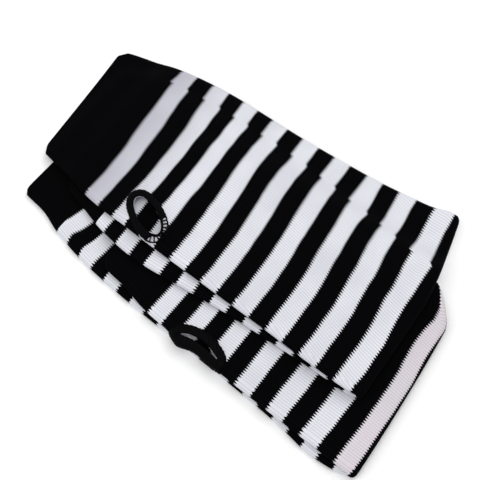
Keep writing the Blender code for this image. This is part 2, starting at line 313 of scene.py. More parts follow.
@dataclass(frozen=True)
class Layer:
    """One half of a folded tube: sections from its open end to its fold, and its stripes.

    Stations are shares of the way across, and at each of them the stripes lean away from their place on the near
    edge by its lean. With one station the stripes follow the sections.
    """

    level: int
    half: Half
    rows: tuple[Section, ...]
    stripes: StripeRun
    stations: tuple[float, ...] = (0.0,)
    leans: tuple[float, ...] = (0.0,)
    pulls: tuple[Pull, ...] = ()

    def section(self, row: float) -> Section:
        """The section at a row number that may lie between two rows.

        Args:
            row: A row number from 0 at the open end.

        Returns:
            The section there, on a smooth curve through the rows.
        """
        first = min(max(int(row), 0), len(self.rows) - 2)
        part = row - first
        picks = (max(first - 1, 0), first, first + 1, min(first + 2, len(self.rows) - 1))
        values = []
        for item in fields(Section):
            a, b, c, d = (getattr(self.rows[pick], item.name) for pick in picks)
            bend = 2.0 * a - 5.0 * b + 4.0 * c - d
            twist = 3.0 * b - a - 3.0 * c + d
            values.append(b + 0.5 * part * (c - a + part * (bend + part * twist)))
        return Section(*values)

    def outline(self) -> np.ndarray:
        """The layer's outline in plan, as rows of x and y."""
        near = []
        far = []
        for index in range(2 * len(self.rows) - 1):
            section = self.section(index / 2.0)
            near.append((section.near_x, section.near_y))
            far.append((float(section.x_at(section.far_y)), section.far_y))
        fold = self.rows[-1]
        for index in range(1, 12):
            y = fold.near_y + (fold.far_y - fold.near_y) * index / 12.0
            near.append((float(fold.x_at(y)), y))
        return np.array(near + far[::-1])

    def near_edge(self, x: np.ndarray) -> np.ndarray:
        """Y of the near long edge at each x."""
        sections = [self.section(index / 4.0) for index in range(4 * len(self.rows) - 3)]
        return np.interp(x, [s.near_x for s in sections], [s.near_y for s in sections])

    def count(self, section: Section, y: np.ndarray, start: RoundStart) -> np.ndarray:
        """The stripe count at places on a section, as it is before the step of the round's start.

        Args:
            section: A section of this layer.
            y: Places across it.
            start: The tube's line of round starts.

        Returns:
            The stripe count at each place.
        """
        across = section.far_y - section.near_y
        values = []
        for station, lean in zip(self.stations, self.leans):
            seen = self.stripes.count_at(float(section.x_at(section.near_y + station * across)) - lean)
            flat = (station * across - EDGE_ROUND) / (across - 2.0 * EDGE_ROUND)
            around = EDGE_ARC + min(max(flat, 0.0), 1.0) * (TUBE_ROUND / 2.0 - 2.0 * EDGE_ARC)
            values.append(seen - start.shift(around, seen))
        part = np.clip((y - section.near_y) / across, 0.0, 1.0)
        pulled = sum(pull.shift_at(section.x_at(y), part) for pull in self.pulls)
        return through(self.stations, np.array(values), part) - pulled / self.stripes.pitch

    def steps(self, first: float, last: float) -> list[float]:
        """Row numbers about ROW_STEP apart, from one row to another.

        Args:
            first: The row number to start from.
            last: The row number to end at.

        Returns:
            The row numbers, both ends among them.
        """
        steps = [first]
        for row in range(int(first), int(math.ceil(last))):
            start, end = self.rows[row], self.rows[row + 1]
            length = 0.5 * (abs(end.near_x - start.near_x) + abs(end.far_x - start.far_x))
            count = max(1, round(length / ROW_STEP))
            steps += [row + (index + 1) / count for index in range(count)]
        return steps


LOWER_ARM = Layer(
    level=0,
    half=Half.ARM,
    rows=(
        Section(-95.9, -37.4, -94.3, 35.0),
        Section(-94.4, -39.4, -92.4, 38.0),
        Section(-82.0, -41.3, -81.0, 38.8),
        Section(-70.5, -45.4, -69.5, 39.2),
        Section(-54.5, -49.0, -53.5, 39.2),
        Section(-38.9, -51.0, -38.0, 38.8),
        Section(-14.3, -52.8, -14.0, 38.2),
        Section(20.0, -54.3, 19.0, 37.8),
        Section(58.5, -56.6, 56.0, 37.4),
        Section(78.0, -59.2, 76.4, 37.2, 0.4, 4.0, 0.83),
        Section(89.5, -58.9, 86.0, 36.8, 0.6, 8.0, 0.83),
        Section(94.8, -58.1, 90.0, 36.2, 0.8, 10.7, 0.83),
        Section(98.0, -57.0, 92.0, 35.4, 1.0, 11.7, 0.83),
    ),
    stripes=StripeRun(16, 92.0, -8.2, 0.0045),
    pulls=(
        Pull(-65.0, 0.05, -1.5, 16.0, 0.04),
        Pull(-65.0, 0.25, 3.0, 16.0, 0.12),
        Pull(98.0, 0.3, -1.7, 5.0, 9.0),
    ),
)
LOWER_HAND = Layer(
    level=1,
    half=Half.HAND,
    rows=(
        Section(-43.0, -42.0, -45.0, 21.0),
        Section(-39.8, -46.6, -42.0, 24.5),
        Section(-28.0, -48.4, -30.0, 27.5),
        Section(-13.5, -51.6, -12.5, 31.0),
        Section(4.0, -53.0, 5.0, 33.2),
        Section(38.5, -55.0, 38.5, 36.0),
        Section(64.0, -55.9, 62.0, 37.2),
        Section(80.0, -56.4, 77.4, 37.2, 0.4, 4.0, 0.83),
        Section(89.5, -56.8, 86.0, 36.8, 0.6, 8.0, 0.83),
        Section(94.8, -57.0, 90.0, 36.2, 0.8, 10.7, 0.83),
        Section(98.0, -57.0, 92.0, 35.4, 1.0, 11.7, 0.83),
    ),
    stripes=StripeRun(1, -12.4, 8.38, 0.01),
    stations=(0.0, 0.12, 0.5, 0.8, 0.9, 1.0),
    leans=(0.0, 0.1, 0.1, 0.0, -0.5, -1.2),
    pulls=(
        Pull(-12.0, 0.35, 1.8, 20.0, 0.5),
        Pull(86.0, 0.3, 1.6, 17.0, 0.4),
    ),
)
UPPER_ARM = Layer(
    level=2,
    half=Half.ARM,
    rows=(
        Section(-80.5, -24.0, -81.0, 46.0),
        Section(-78.5, -26.8, -79.0, 49.5),
        Section(-68.0, -29.6, -69.0, 52.5),
        Section(-57.5, -32.6, -58.5, 54.0),
        Section(-42.5, -35.8, -44.5, 55.0),
        Section(-27.0, -36.4, -30.0, 55.6),
        Section(-9.0, -34.9, -14.0, 56.5),
        Section(17.0, -32.5, 11.0, 58.5),
        Section(43.0, -31.3, 36.0, 61.0),
        Section(66.5, -30.6, 62.0, 65.2, 0.6, 4.0, 0.55),
        Section(74.0, -30.7, 70.0, 67.0, 0.5, 7.0, 0.53),
        Section(79.0, -30.5, 75.4, 68.9, 0.4, 8.1, 0.52),
        Section(82.0, -29.8, 78.6, 69.6, 0.4, 8.3, 0.52),
    ),
    stripes=StripeRun(20, 77.2, -8.78, 0.015),
    pulls=(Pull(84.0, 0.3, -2.6, 6.0, 9.0),),
)
UPPER_HAND = Layer(
    level=3,
    half=Half.HAND,
    rows=(
        Section(-103.2, -15.2, -110.0, 46.4),
        Section(-101.0, -18.4, -107.4, 50.0),
        Section(-86.0, -21.3, -93.0, 54.0, 0.8),
        Section(-70.5, -25.0, -79.8, 57.0, 1.6),
        Section(-52.5, -26.8, -61.3, 59.7, 1.6),
        Section(-35.0, -28.0, -43.0, 60.9, 1.4),
        Section(0.0, -28.7, -7.6, 61.0, 1.2),
        Section(35.0, -29.4, 27.6, 62.7, 1.0),
        Section(53.0, -30.1, 44.4, 64.3, 1.0, 1.0, 0.58),
        Section(66.5, -30.3, 62.0, 66.2, 0.8, 5.0, 0.55),
        Section(74.0, -30.4, 70.0, 67.6, 0.5, 7.4, 0.53),
        Section(79.0, -30.2, 75.4, 69.5, 0.4, 8.2, 0.52),
        Section(82.0, -29.8, 78.6, 69.6, 0.4, 8.3, 0.52),
    ),
    stripes=StripeRun(1, -69.7, 8.6, 0.013),
    stations=(0.0, 0.25, 0.5, 0.7, 0.8, 0.95),
    leans=(0.0, -0.5, -3.0, -4.8, -5.8, -7.8),
    pulls=(
        Pull(-31.0, 0.25, -1.5, 9.0, 0.15),
        Pull(-51.0, 0.58, 2.6, 15.0, 0.32),
        Pull(62.0, 0.88, -2.0, 25.0, 0.19),
    ),
)

LOWER_HOLE = ThumbHole(
    x=16.4,
    arc=5.0,
    half_length=10.8,
    far_half=1.4,
    near_half=1.1,
    turn=2.0,
    sag=1.8,
    edge_widths=(4.1, 3.8, 3.8, 3.8),
    gape=0.7,
    lip=0.3,
    loose_from=292.0,
    loose_to=372.0,
    loose_width=0.8,
    flare=2.2,
    flare_x=8.0,
)
UPPER_HOLE = ThumbHole(
    x=-38.2,
    arc=9.9,
    half_length=11.0,
    far_half=5.1,
    near_half=4.4,
    turn=-22.0,
    sag=0.0,
    edge_widths=(3.0, 2.8, 3.1, 2.8),
    gape=1.4,
    lip=0.4,
    loose_from=318.0,
    loose_to=432.0,
    loose_width=0.34,
    slip=0.27,
    slip_count=5.2,
)

CREASES = (
    Crease(3, -8.0, 14.0, -6.0, 90.0, 26.0, -0.7),
    Crease(3, 42.0, 2.0, -14.0, 70.0, 20.0, -0.6),
    Crease(3, 58.0, 38.0, -4.0, 46.0, 22.0, -0.6),
    Crease(3, -72.0, 36.0, 10.0, 60.0, 24.0, -0.6),
    Crease(3, -20.0, -12.0, -24.0, 38.0, 12.0, -0.5),
    Crease(3, 20.0, 30.0, 4.0, 50.0, 20.0, 0.35),
    Crease(1, 40.0, -42.0, -4.0, 44.0, 14.0, -0.4),
    Crease(1, 2.0, -40.0, 30.0, 26.0, 9.0, -0.4),
    Crease(1, 84.0, -22.0, -50.0, 42.0, 12.0, -0.45),
    Crease(0, -76.0, -12.0, 20.0, 38.0, 14.0, -0.5),
    Crease(0, -58.0, 24.0, -12.0, 40.0, 14.0, -0.5),
)


@dataclass(frozen=True)
class Pile:
    """The four layers in the order in which they lie, and the creases in them."""

    layers: tuple[Layer, ...]
    creases: tuple[Crease, ...]

    def outside(self, level: int, x: np.ndarray, y: np.ndarray) -> np.ndarray:
        """How far places are outside a layer's outline, or 0 within it.

        Args:
            level: The layer's number.
            x: Places along the pair.
            y: Places across the pair.

        Returns:
            The distance of each place.
        """
        corners = self.layers[level].outline()
        inside = np.zeros(x.shape, bool)
        nearest = np.full(x.shape, np.inf)
        for (ax, ay), (bx, by) in zip(corners, np.roll(corners, -1, axis=0)):
            crosses = (ay > y) != (by > y)
            if ay != by:
                inside ^= crosses & (x < ax + (y - ay) / (by - ay) * (bx - ax))
            length = (bx - ax) ** 2 + (by - ay) ** 2
            along = np.clip(((x - ax) * (bx - ax) + (y - ay) * (by - ay)) / length, 0.0, 1.0)
            nearest = np.minimum(nearest, np.hypot(x - ax - along * (bx - ax), y - ay - along * (by - ay)))
        return np.where(inside, 0.0, nearest)

    def underside(self, level: int, x: np.ndarray, y: np.ndarray) -> np.ndarray:
        """Height of a layer's underside, draped over the layers below.

        Args:
            level: The layer's number.
            x: Places along the pair.
            y: Places across the pair.

        Returns:
            The height at each place.
        """
        height = np.zeros(x.shape)
        for below in range(level):
            height += (LAYER_THICK + LAYER_GAP) * smooth(1.0 - self.outside(below, x, y) / DRAPE)
        return height

    def crease_lift(self, wall: np.ndarray, x: np.ndarray, y: np.ndarray) -> np.ndarray:
        """How far the creases move places up.

        Args:
            wall: Which wall each place is in, counted up from the floor, two walls to a layer.
            x: Places along the pair.
            y: Places across the pair.

        Returns:
            The lift of each place.
        """
        lift = np.zeros(x.shape)
        for crease in self.creases:
            lift += np.clip(wall - 2.0 * crease.level, 0.0, 1.0) * crease.lift(x, y)
        return lift

    def outer_point(self, layer: Layer, hole: ThumbHole, x: np.ndarray, arc: np.ndarray) -> np.ndarray:
        """Points on the outside of a hand layer, by the way round from the near long edge.

        Args:
            layer: A hand layer.
            hole: Its thumb hole.
            x: Places along the pair.
            arc: Ways round, from 0 at the middle of the near long edge.

        Returns:
            One row of x, y and z for each place.
        """
        edge = layer.near_edge(x)
        angle = np.clip(arc / EDGE_ARC, -1.0, 1.0) * math.pi / 2.0
        on_edge = arc < EDGE_ARC
        y = np.where(on_edge, edge + EDGE_ROUND * (1.0 - np.cos(angle)), edge + EDGE_ROUND + arc - EDGE_ARC)
        share = np.where(on_edge, np.sin(angle), 1.0)
        raised = (share + 1.0) / 2.0
        z = self.underside(layer.level, x, y) + LAYER_THICK / 2.0 * (1.0 + share)
        z += hole.rise(x, arc) * raised + self.crease_lift(2.0 * layer.level + raised, x, y)
        return np.stack([x, y - hole.push(x, arc), z], axis=-1)

    def outward(self, layer: Layer, hole: ThumbHole, x: np.ndarray, arc: np.ndarray) -> np.ndarray:
        """The way out from the knit at places on the outside of a hand layer.

        Args:
            layer: A hand layer.
            hole: Its thumb hole.
            x: Places along the pair.
            arc: Ways round from the near long edge.

        Returns:
            One unit vector for each place.
        """
        along = self.outer_point(layer, hole, x + 0.4, arc) - self.outer_point(layer, hole, x - 0.4, arc)
        across = self.outer_point(layer, hole, x, arc + 0.4) - self.outer_point(layer, hole, x, arc - 0.4)
        normal = np.cross(along, across)
        return normal / np.linalg.norm(normal, axis=-1, keepdims=True)


def in_part(points: np.ndarray) -> np.ndarray:
    """Points of the tables in metres in the part's frame."""
    return (points - np.array([TABLE_ORIGIN[0], TABLE_ORIGIN[1], 0.0])) * MM


def linear(colour: str) -> tuple[float, float, float, float]:
    """Turn an sRGB hex colour to linear.

    Args:
        colour: Six hex digits after a hash.

    Returns:
        Red, green, blue and full alpha, linear.
    """
    values = []
    for start in (1, 3, 5):
        value = int(colour[start : start + 2], 16) / 255.0
        values.append(value / 12.92 if value <= 0.04045 else ((value + 0.055) / 1.055) ** 2.4)
    return (values[0], values[1], values[2], 1.0)


def add_node(
    tree: bpy.types.NodeTree,
    kind: str,
    settings: dict[str, object] | None = None,
    inputs: dict[object, object] | None = None,
) -> bpy.types.Node:
    """Add a node with its settings, values and links.

    Args:
        tree: The material's node tree.
        kind: The node's type name.
        settings: Properties of the node.
        inputs: A value or an output socket for each input, by its name or number.

    Returns:
        The new node.
    """
    node = tree.nodes.new(kind)
    for name, value in (settings or {}).items():
        setattr(node, name, value)
    for key, value in (inputs or {}).items():
        if isinstance(value, bpy.types.NodeSocket):
            tree.links.new(value, node.inputs[key])
        else:
            node.inputs[key].default_value = value
    return node


class Graph:
    """A material's node tree with its shader, for sums written in one line each."""

    def __init__(self, name: str) -> None:
        """Make the material.

        Args:
            name: What the material is.
        """
        self.material = bpy.data.materials.new(name)
        self.material.use_nodes = True
        self.tree = self.material.node_tree
        self.shader = self.tree.nodes["Principled BSDF"]

    def math(self, operation: str, *values: object) -> bpy.types.NodeSocket:
        """A Math node's result.

        Args:
            operation: The node's operation.
            values: A number or an output socket for each input.

        Returns:
            The output socket.
        """
        inputs = dict(enumerate(values))
        return add_node(self.tree, "ShaderNodeMath", {"operation": operation}, inputs).outputs[0]

    def ramp(self, value: object, low: float, high: float, start: float = 0.0, end: float = 1.0) -> bpy.types.NodeSocket:
        """A value moved from one range to another and held there.

        Args:
            value: The output socket to read.
            low: The value that gives start.
            high: The value that gives end.
            start: The result at low.
            end: The result at high.

        Returns:
            The output socket.
        """
        inputs = {"Value": value, "From Min": low, "From Max": high, "To Min": start, "To Max": end}
        return add_node(self.tree, "ShaderNodeMapRange", {"clamp": True}, inputs).outputs["Result"]

    def mix(self, share: object, first: object, second: object) -> bpy.types.NodeSocket:
        """Two colours mixed.

        Args:
            share: How much of the second colour there is.
            first: The first colour.
            second: The second colour.

        Returns:
            The output socket.
        """
        node = add_node(self.tree, "ShaderNodeMix", {"data_type": "RGBA"}, {0: share, 6: first, 7: second})
        return node.outputs[2]

    def noise(self, size_mm: float, detail: float = 2.0) -> bpy.types.NodeSocket:
        """Noise in the object's own space.

        Args:
            size_mm: The size of its patches.
            detail: How many finer steps it has.

        Returns:
            The output socket, from 0 to 1.
        """
        place = add_node(self.tree, "ShaderNodeTexCoord").outputs["Object"]
        inputs = {"Vector": place, "Scale": 1000.0 / size_mm, "Detail": detail}
        return add_node(self.tree, "ShaderNodeTexNoise", None, inputs).outputs[0]

    def bump(self, height: object, distance_mm: float, strength: float) -> None:
        """Raise the surface by a height from 0 to 1.

        Args:
            height: The output socket of the height.
            distance_mm: How far a height of 1 stands up.
            strength: How much of it the light shows.
        """
        inputs = {"Height": height, "Distance": distance_mm * MM, "Strength": strength}
        node = add_node(self.tree, "ShaderNodeBump", None, inputs)
        self.tree.links.new(node.outputs["Normal"], self.shader.inputs["Normal"])


@dataclass(frozen=True)
class JerseyKnit:
    """Fine cotton jersey, circular knit: upright wales with a V of two legs in each stitch."""

    # The black's two tones are painted shade in the wale grooves and painted light on the wale crowns.
    black_deep: str = "#020203"
    black_lit: str = "#070709"
    # Painted shade in the white's wale grooves.
    white_groove: str = "#A9ABB8"
    white_crown: str = "#DFE0E6"
    cuff_white: str = "#DFE0E6"
    # Painted shade about the fold: a greyer, pinker white there.
    fold_white: str = "#DFE0E6"
    wale: float = 1.15
    course: float = 0.75
    deep_teeth: float = 0.82
    shallow_teeth: float = 0.58
    white_share: float = 0.95

    def make(self, name: str, striped: bool, start: RoundStart) -> bpy.types.Material:
        """The knit's material. Its fuzz scatters light, so it is matt with hardly any gloss.

        Args:
            name: The material's name.
            striped: Whether it has white stripes.
            start: The tube's line of round starts.

        Returns:
            The material.
        """
        graph = Graph(name)
        chart = add_node(graph.tree, "ShaderNodeUVMap", {"uv_map": "knit"}).outputs["UV"]
        parts = add_node(graph.tree, "ShaderNodeSeparateXYZ", None, {0: chart})
        around, count = parts.outputs[0], parts.outputs[1]
        crown = graph.math("DIVIDE", graph.math("PINGPONG", around, self.wale / 2.0), self.wale / 2.0)
        leg = graph.math("MULTIPLY_ADD", crown, 0.55, graph.math("MULTIPLY", count, STRIPE / self.course))
        stitch = graph.math("PINGPONG", leg, 0.5)
        height = graph.math("MULTIPLY_ADD", stitch, 0.5, graph.math("MULTIPLY", crown, 0.7))
        # Noise that places patches of painted shade at random, for the shade of shallow troughs.
        shade_blotch = graph.noise(22.0)
        # Black with painted shade in the wale grooves and painted light on their crowns.
        black = graph.mix(crown, linear(self.black_deep), linear(self.black_lit))
        colour = black
        if striped:
            turn = graph.math("FRACT", graph.math("DIVIDE", graph.math("SUBTRACT", around, start.at), TUBE_ROUND))
            shifted = graph.math("MULTIPLY_ADD", turn, -start.step / STRIPE, count)
            shifted = graph.math("ADD", shifted, 0.5 * start.step / STRIPE)
            shifted = graph.math("ADD", shifted, graph.ramp(graph.noise(14.0), 0.3, 0.7, -0.03, 0.03))
            side = graph.math("WRAP", graph.math("SUBTRACT", shifted, 1.5), 1.0, -1.0)
            depth = graph.ramp(side, -0.01, 0.01, self.deep_teeth, self.shallow_teeth)
            tooth = graph.math("MULTIPLY", graph.math("MULTIPLY_ADD", crown, 2.0, -1.0), depth)
            inside = graph.math("MULTIPLY", graph.math("SUBTRACT", self.white_share / 2.0, graph.math("ABSOLUTE", side)), STRIPE)
            edge = graph.math("ADD", inside, tooth)
            white = graph.ramp(edge, -0.12, 0.12)
            white = graph.math("MULTIPLY", white, graph.math("GREATER_THAN", count, 0.5))
            white = graph.math("MULTIPLY", white, graph.math("LESS_THAN", count, 36.5))
            pale = graph.mix(graph.ramp(count, 0.9, 4.5), linear(self.cuff_white), linear(self.white_crown))
            # Painted shade: about the fold's stripe count the white turns greyer and pinker.
            from_fold = graph.math("ABSOLUTE", graph.math("SUBTRACT", count, 13.8))
            pale = graph.mix(graph.ramp(from_fold, 0.6, 1.4, 1.0, 0.0), pale, linear(self.fold_white))
            # Painted shade in random grey patches.
            pale = graph.mix(graph.ramp(shade_blotch, 0.42, 0.72, 0.0, 0.5), pale, linear("#C9C9D0"))
            # Painted shade: the white darkens towards the wale grooves.
            pale = graph.mix(graph.ramp(crown, 0.0, 0.7, 0.5, 0.0), pale, linear(self.white_groove))
            colour = graph.mix(white, black, pale)
        graph.tree.links.new(colour, graph.shader.inputs["Base Color"])
        graph.shader.inputs["Roughness"].default_value = 0.92
        graph.shader.inputs["Specular IOR Level"].default_value = 0.02
        graph.shader.inputs["Sheen Weight"].default_value = 0.004
        graph.shader.inputs["Sheen Roughness"].default_value = 0.5
        graph.bump(height, 0.16, 0.55)
        return graph.material


@dataclass(frozen=True)
class OverlockThread:
    """Spun polyester overlock thread: fine, dull, and a little glossier than the knit."""

    tone: str = "#010102"
    # The lit tone is painted light on the ridges of the twist.
    lit: str = "#050507"
    twist: float = 0.45

    def make(self, name: str) -> bpy.types.Material:
        """The thread's material, with the twist drawn as coarse as it needs to show.

        Args:
            name: The material's name.

        Returns:
            The material.
        """
        graph = Graph(name)
        place = add_node(graph.tree, "ShaderNodeTexCoord").outputs["Object"]
        inputs = {"Vector": place, "Scale": 1000.0 / self.twist / 6.28, "Distortion": 2.0}
        twist = add_node(graph.tree, "ShaderNodeTexWave", {"bands_direction": "DIAGONAL"}, inputs).outputs[1]
        # Painted light on the ridges of the twist, over the thread's own tone.
        colour = graph.mix(twist, linear(self.tone), linear(self.lit))
        graph.tree.links.new(colour, graph.shader.inputs["Base Color"])
        graph.shader.inputs["Roughness"].default_value = 0.62
        graph.shader.inputs["Specular IOR Level"].default_value = 0.04
        graph.bump(twist, 0.08, 0.5)
        return graph.material


def pick_only(piece: bpy.types.Object) -> None:
    """Select one object and make it active."""
    bpy.ops.object.select_all(action="DESELECT")
    piece.select_set(True)
    bpy.context.view_layer.objects.active = piece


@dataclass(frozen=True)
class Rings:
    """Rings of points along a tube: their places, their chart of wales and stripes, and the ways round."""

    points: np.ndarray
    around: np.ndarray
    count: np.ndarray
    arc: np.ndarray
    on_hand: np.ndarray

    def part(self, first: int, last: int) -> "Rings":
        """The rings from one number to another, both among them."""
        keep = slice(first, last + 1)
        return Rings(self.points[keep], self.around[keep], self.count[keep], self.arc[keep], self.on_hand[keep])


@dataclass
class ArmWarmer:
    """One arm warmer: a knit tube folded in half, with an overlocked thumb hole."""

    name: str
    pile: Pile
    hand: Layer
    arm: Layer
    hole: ThumbHole
    start: RoundStart
    knit: JerseyKnit
    rests_on: str
    ripple: float = 0.12

    def profile(self, section: Section) -> tuple[np.ndarray, np.ndarray, np.ndarray]:
        """Places round a flattened section, from the near end of the top over the far edge and back.

        Args:
            section: The section.

        Returns:
            Y, the share of half the thickness, and the wale in millimetres, with the first place again last.
        """
        low = section.near_y + EDGE_ROUND
        high = section.far_y - EDGE_ROUND
        flat = np.linspace(0.0, 1.0, FLAT_COLUMNS + 1)
        turn = np.linspace(0.0, math.pi, EDGE_COLUMNS + 1)[1:-1]
        flat_round = TUBE_ROUND / 2.0 - 2.0 * EDGE_ARC
        edge_round = turn / math.pi * 2.0 * EDGE_ARC
        y = np.concatenate([
            low + flat * (high - low),
            high + EDGE_ROUND * np.sin(turn),
            high - flat * (high - low),
            low - EDGE_ROUND * np.sin(turn),
            [low],
        ])
        share = np.concatenate([np.ones(flat.size), np.cos(turn), -np.ones(flat.size), -np.cos(turn), [1.0]])
        around = np.concatenate([
            EDGE_ARC + flat * flat_round,
            TUBE_ROUND / 2.0 - EDGE_ARC + edge_round,
            TUBE_ROUND / 2.0 + EDGE_ARC + flat * flat_round,
            TUBE_ROUND - EDGE_ARC + edge_round,
            [TUBE_ROUND + EDGE_ARC],
        ])
        return y, share, around

    def layer_rings(self, layer: Layer, steps: list[float]) -> list[tuple[np.ndarray, ...]]:
        """Rings of one layer.

        Args:
            layer: The layer.
            steps: The row number of each ring.

        Returns:
            For each ring its points, wales, counts and way round.
        """
        rings = []
        outward = layer.half.value
        for row in steps:
            section = layer.section(row)
            y, share, around = self.profile(section)
            x = section.x_at(y)
            count = layer.count(section, y, self.start)
            raised = (outward * share + 1.0) / 2.0
            arc = np.where(y < section.near_y + EDGE_ROUND, np.arcsin(share) / (math.pi / 2.0) * EDGE_ARC, -99.0)
            arc = np.where(share > 0.999, y - layer.near_edge(x) - EDGE_ROUND + EDGE_ARC, arc)
            z = self.pile.underside(layer.level, x, y) + LAYER_THICK * raised
            z = z + self.pile.crease_lift(2.0 * layer.level + raised, x, y)
            z = z + self.ripple * np.cos(math.pi * count) * np.maximum(raised - 0.5, 0.0)
            if layer.half is Half.HAND:
                z = z + self.hole.rise(x, arc) * raised
                y = y - self.hole.push(x, arc)
                slip = self.hole.slip * np.exp(-(((count - self.hole.slip_count) / 0.9) ** 2))
                count = count - slip * smooth(-2.0 * share)
            rings.append((np.stack([x, y, z], axis=-1), around, count, arc))
        return rings

    def fold_rings(self) -> list[tuple[np.ndarray, ...]]:
        """Rings where the tube turns over its fold, from the hand half down to the arm half."""
        section = self.arm.rows[-1]
        y, share, around = self.profile(section)
        x = section.x_at(y)
        slope = section.x_at(y - 0.5) - section.x_at(y + 0.5)
        out = np.stack([np.ones(y.size), slope, np.zeros(y.size)], axis=-1)
        out /= np.linalg.norm(out, axis=-1, keepdims=True)
        middle = self.pile.underside(self.arm.level, x, y) + LAYER_THICK + LAYER_GAP / 2.0
        radius = (LAYER_THICK + LAYER_GAP) / 2.0 + share * LAYER_THICK / 2.0
        start = self.hand.count(section, y, self.start)
        end = self.arm.count(section, y, self.start)
        rings = []
        for index in range(1, FOLD_STEPS):
            part = index / FOLD_STEPS
            angle = math.pi * part
            turned = np.array([0.0, 0.0, 1.0]) * math.cos(angle) + out * math.sin(angle)
            points = np.stack([x, y, middle], axis=-1) + turned * radius[:, None]
            wall = 2.0 * self.hand.level + (share + 1.0) / 2.0
            wall = wall + part * (2.0 * self.arm.level + (1.0 - share) / 2.0 - wall)
            count = start + part * (end - start)
            points[:, 2] += self.pile.crease_lift(wall, x, y)
            points[:, 2] += self.ripple * np.cos(math.pi * count) * 0.5 * np.maximum(share * math.cos(angle), 0.0)
            rings.append((points, around, count, np.full(y.size, -99.0)))
        return rings

    def rings(self) -> tuple[Rings, int, int]:
        """All rings of the tube.

        Returns:
            The rings, and the numbers of those where the hand cuff ends and the arm cuff starts.
        """
        hand_cuff = self.hand.steps(0.0, CUFF_ROW)
        hand = hand_cuff + self.hand.steps(CUFF_ROW, len(self.hand.rows) - 1)[1:]
        arm_cuff = self.arm.steps(0.0, CUFF_ROW)
        arm = (arm_cuff + self.arm.steps(CUFF_ROW, len(self.arm.rows) - 1)[1:])[::-1]
        made = self.layer_rings(self.hand, hand) + self.fold_rings() + self.layer_rings(self.arm, arm)
        points, around, count, arc = (np.array([ring[index] for ring in made]) for index in range(4))
        around = self.start.wale(around, count)
        on_hand = np.arange(len(made)) < len(hand)
        return Rings(points, around, count, arc, on_hand), len(hand_cuff) - 1, len(made) - len(arm_cuff)

    def open_hole(self, rings: Rings) -> np.ndarray:
        """Snap the rings' points near the thumb hole to its edge.

        Args:
            rings: The sleeve's rings. Their points are moved in place.

        Returns:
            Whether each face between the rings is within the hole.
        """
        reach = self.hole.reach(rings.points[..., 0], rings.arc)
        reach[~rings.on_hand] = 99.0
        reach = np.where(rings.arc > 0.3, reach, 99.0)
        middle = (reach[:-1, :-1] + reach[1:, :-1] + reach[:-1, 1:] + reach[1:, 1:]) / 4.0
        inside = middle < 1.0
        near_inside = np.zeros(reach.shape, bool)
        near_outside = np.zeros(reach.shape, bool)
        for rows in (slice(None, -1), slice(1, None)):
            for columns in (slice(None, -1), slice(1, None)):
                near_inside[rows, columns] |= inside
                near_outside[rows, columns] |= ~inside
        rim = near_inside & near_outside
        x, arc = rings.points[..., 0][rim], rings.arc[rim]
        x = self.hole.x + (x - self.hole.x) / reach[rim]
        arc = self.hole.arc + (arc - self.hole.arc) / reach[rim]
        rings.points[rim] = self.pile.outer_point(self.hand, self.hole, x, arc)
        return inside

    def knit_piece(self, name: str, rings: Rings, inside: np.ndarray | None) -> bpy.types.Object:
        """A stretch of the tube as one shell of knit.

        Args:
            name: The piece's name.
            rings: Its rings.
            inside: Which faces lie in the thumb hole, or None.

        Returns:
            The piece.
        """
        rows, columns = rings.around.shape
        bpy.ops.object.select_all(action="DESELECT")
        bpy.ops.mesh.primitive_grid_add(x_subdivisions=columns - 1, y_subdivisions=rows - 1, size=2.0)
        piece = bpy.context.object
        piece.name = name
        mesh = piece.data
        mesh.name = name
        flat = np.zeros(len(mesh.vertices) * 3)
        mesh.vertices.foreach_get("co", flat)
        flat = flat.reshape(-1, 3)
        column = np.rint((flat[:, 0] + 1.0) / 2.0 * (columns - 1)).astype(int)
        row = np.rint((flat[:, 1] + 1.0) / 2.0 * (rows - 1)).astype(int)
        mesh.vertices.foreach_set("co", in_part(rings.points)[row, column].ravel())
        corner = np.zeros(len(mesh.loops), np.int32)
        mesh.loops.foreach_get("vertex_index", corner)
        chart = np.stack([rings.around[row, column][corner], rings.count[row, column][corner]], axis=-1)
        mesh.uv_layers[0].name = "knit"
        mesh.uv_layers["knit"].data.foreach_set("uv", chart.ravel())
        mesh.update()
        if inside is not None:
            first = np.array([min(face.vertices) for face in mesh.polygons])
            mesh.polygons.foreach_set("select", inside[row[first], column[first]])
        bpy.ops.object.mode_set(mode="EDIT")
        bpy.ops.mesh.select_mode(type="FACE")
        if inside is not None:
            bpy.ops.mesh.delete(type="FACE")
        bpy.ops.mesh.select_all(action="SELECT")
        bpy.ops.mesh.remove_doubles(threshold=1e-7)
        bpy.ops.mesh.flip_normals()
        bpy.ops.object.mode_set(mode="OBJECT")
        wall = piece.modifiers.new("wall", "SOLIDIFY")
        wall.thickness = KNIT_WALL * MM
        wall.offset = -1.0
        bpy.ops.object.modifier_apply(modifier=wall.name)
        bpy.ops.object.shade_smooth_by_angle(angle=math.radians(50.0))
        return piece

    def overlock(self) -> bpy.types.Object:
        """The thumb hole's edge, of thread looped over the cut knit."""
        stitches = Overlock(self.pile, self.hand, self.hole)
        return stitches.build(self.name + "_thumb_overlock")

